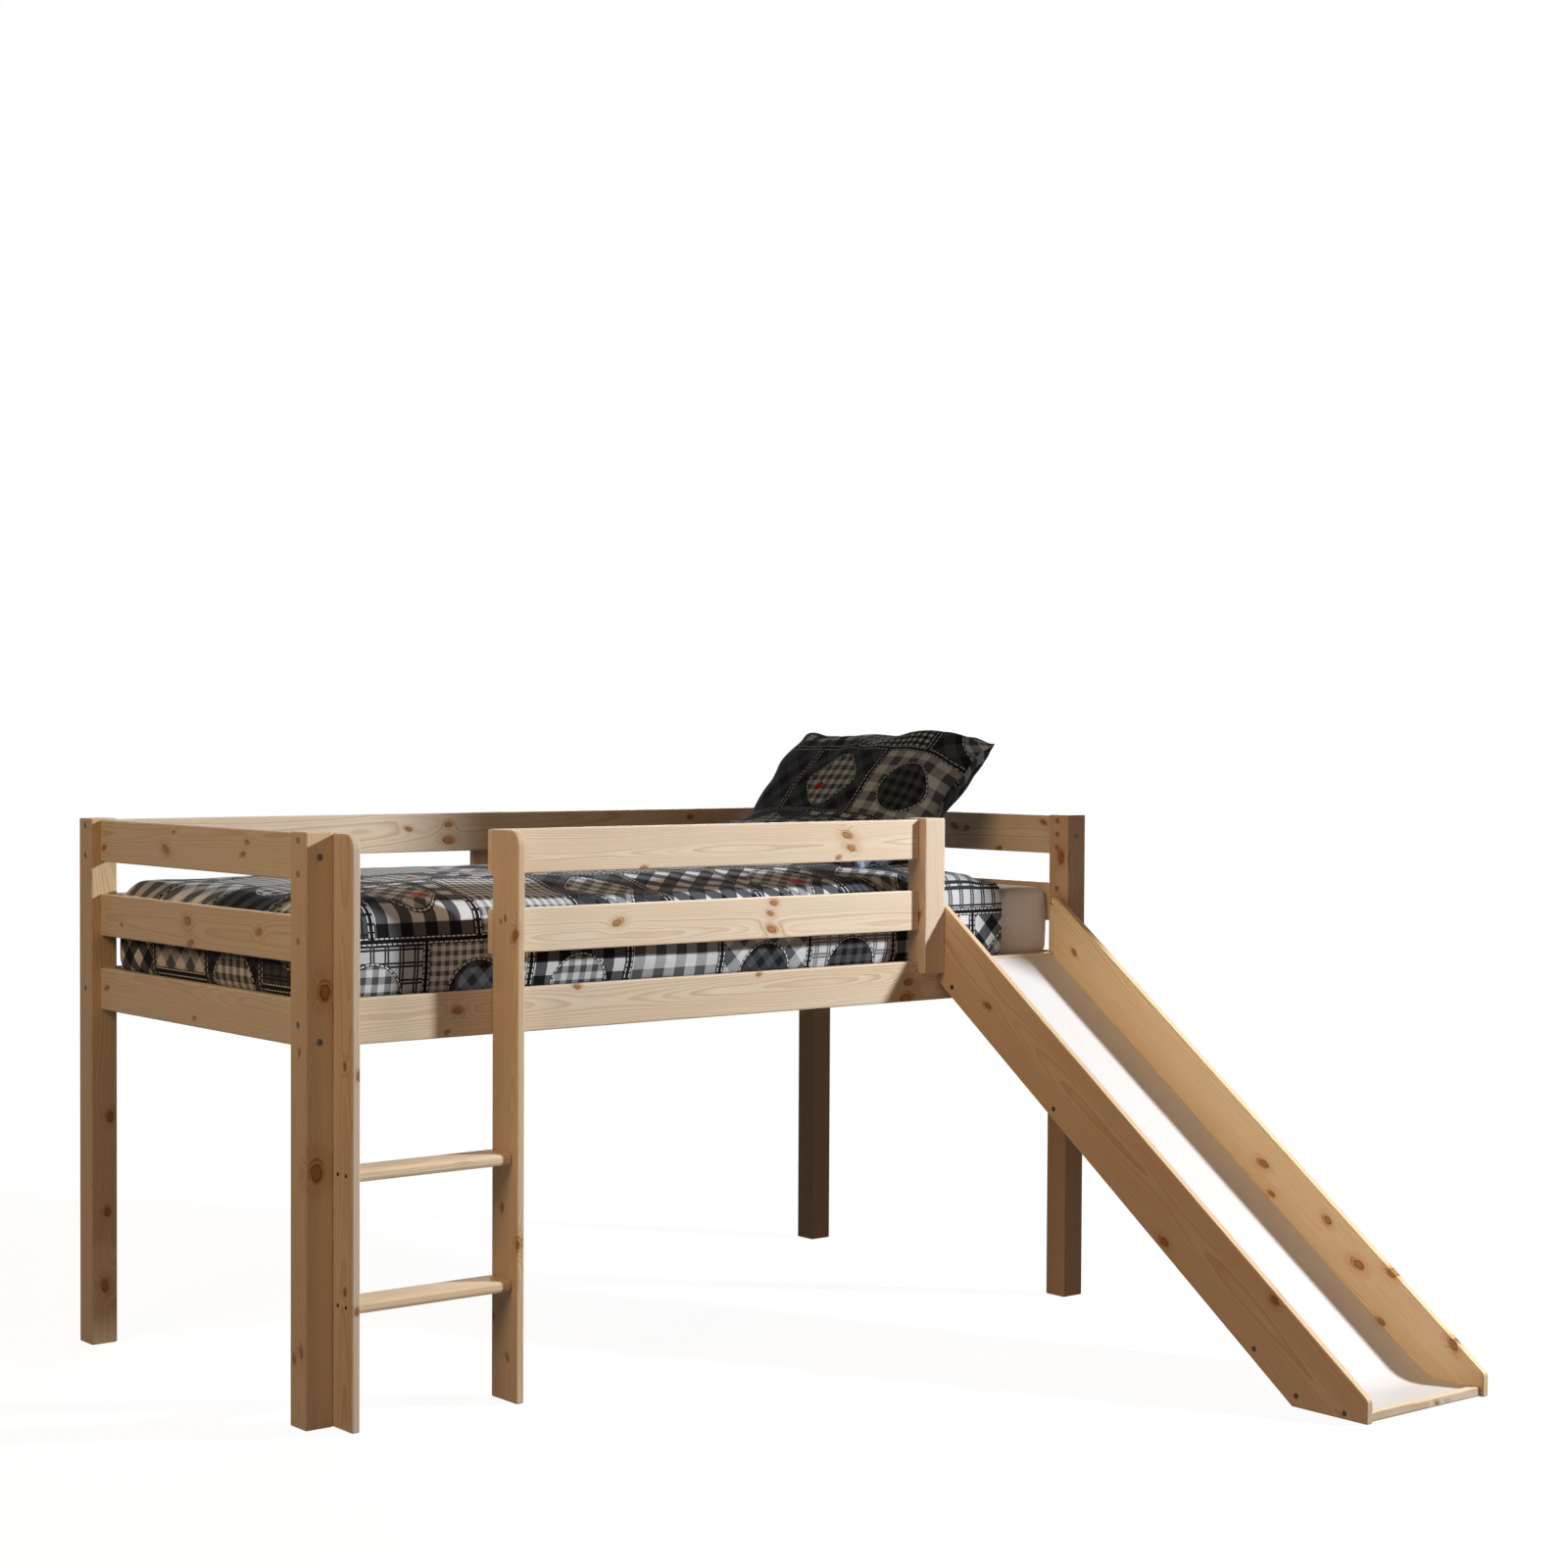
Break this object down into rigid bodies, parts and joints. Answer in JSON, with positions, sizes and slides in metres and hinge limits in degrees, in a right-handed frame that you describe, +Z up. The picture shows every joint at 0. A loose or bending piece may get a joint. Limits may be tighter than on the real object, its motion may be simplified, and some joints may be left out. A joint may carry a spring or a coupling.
{
  "type": "loft bed with slide",
  "caption": "Low loft bed in pine: square posts and board rails, an upright ladder, a straight slide off the long side, slatted base, mattress, duvet and pillow.",
  "frame": {"origin": "middle of the footprint of bed and slide, on the floor", "axes": "+X along the bed from the ladder end to the slide end, +Y from the slide's foot towards the wall side, +Z up"},
  "size_m": [2.1, 2.18, 1.3282],
  "materials": {
    "pine": "satin",
    "slide_laminate": "satin",
    "bolt_steel": "satin",
    "head_bolt_brass": "satin",
    "mattress_ticking": "matte",
    "duvet_cotton": "matte",
    "pillow_cotton": "matte"
  },
  "bodies": {
    "frame": {"bolt_cross_left_low": "bolt_steel", "bolt_cross_left_top": "bolt_steel", "bolt_cross_right_low": "bolt_steel", "bolt_cross_right_top": "bolt_steel", "bolt_front_left_3": "bolt_steel", "bolt_front_right_3": "bolt_steel", "bolt_rear_left_1": "bolt_steel", "bolt_rear_left_2": "bolt_steel", "bolt_rear_left_3": "bolt_steel", "bolt_rear_right_3": "bolt_steel", "end_rail_left_low": "pine", "end_rail_left_mid": "pine", "end_rail_left_top": "pine", "end_rail_right_low": "pine", "end_rail_right_mid": "pine", "end_rail_right_top": "pine", "guard_front_mid": "pine", "guard_front_top": "pine", "guard_rear_mid": "pine", "guard_rear_top": "pine", "head_bolt_left": "head_bolt_brass", "head_bolt_right": "head_bolt_brass", "ledge_front": "pine", "ledge_rear": "pine", "post_front_left": "pine", "post_front_right": "pine", "post_rear_left": "pine", "post_rear_right": "pine", "rear_upright": "pine", "rung_1": "pine", "rung_2": "pine", "short_post": "pine", "side_rail_front": "pine", "side_rail_rear": "pine", "slat_01": "pine", "slat_02": "pine", "slat_03": "pine", "slat_04": "pine", "slat_05": "pine", "slat_06": "pine", "slat_07": "pine", "slat_08": "pine", "slat_09": "pine", "slat_10": "pine", "slat_11": "pine", "slat_12": "pine", "slide_batten_1": "pine", "slide_batten_2": "pine", "slide_batten_3": "pine", "slide_batten_4": "pine", "slide_batten_5": "pine", "slide_nose": "pine", "slide_panel": "slide_laminate", "slide_side_left": "pine", "slide_side_right": "pine", "stile_left": "pine", "stile_right": "pine"},
    "mattress": {"mattress": "mattress_ticking"},
    "duvet": {"duvet": "duvet_cotton"},
    "pillow": {"pillow": "pillow_cotton"}
  },
  "joints": [
    {"name": "mattress_lifts_off", "type": "slide", "parent": "frame", "child": "mattress", "axis": [0, 0, 1], "range_m": [0, 0.36]},
    {"name": "duvet_lifts_off", "type": "slide", "parent": "mattress", "child": "duvet", "axis": [0, 0, 1], "range_m": [0, 0.36]},
    {"name": "pillow_lifts_off", "type": "slide", "parent": "duvet", "child": "pillow", "axis": [0, 0, 1], "range_m": [0, 0.36]}
  ]
}
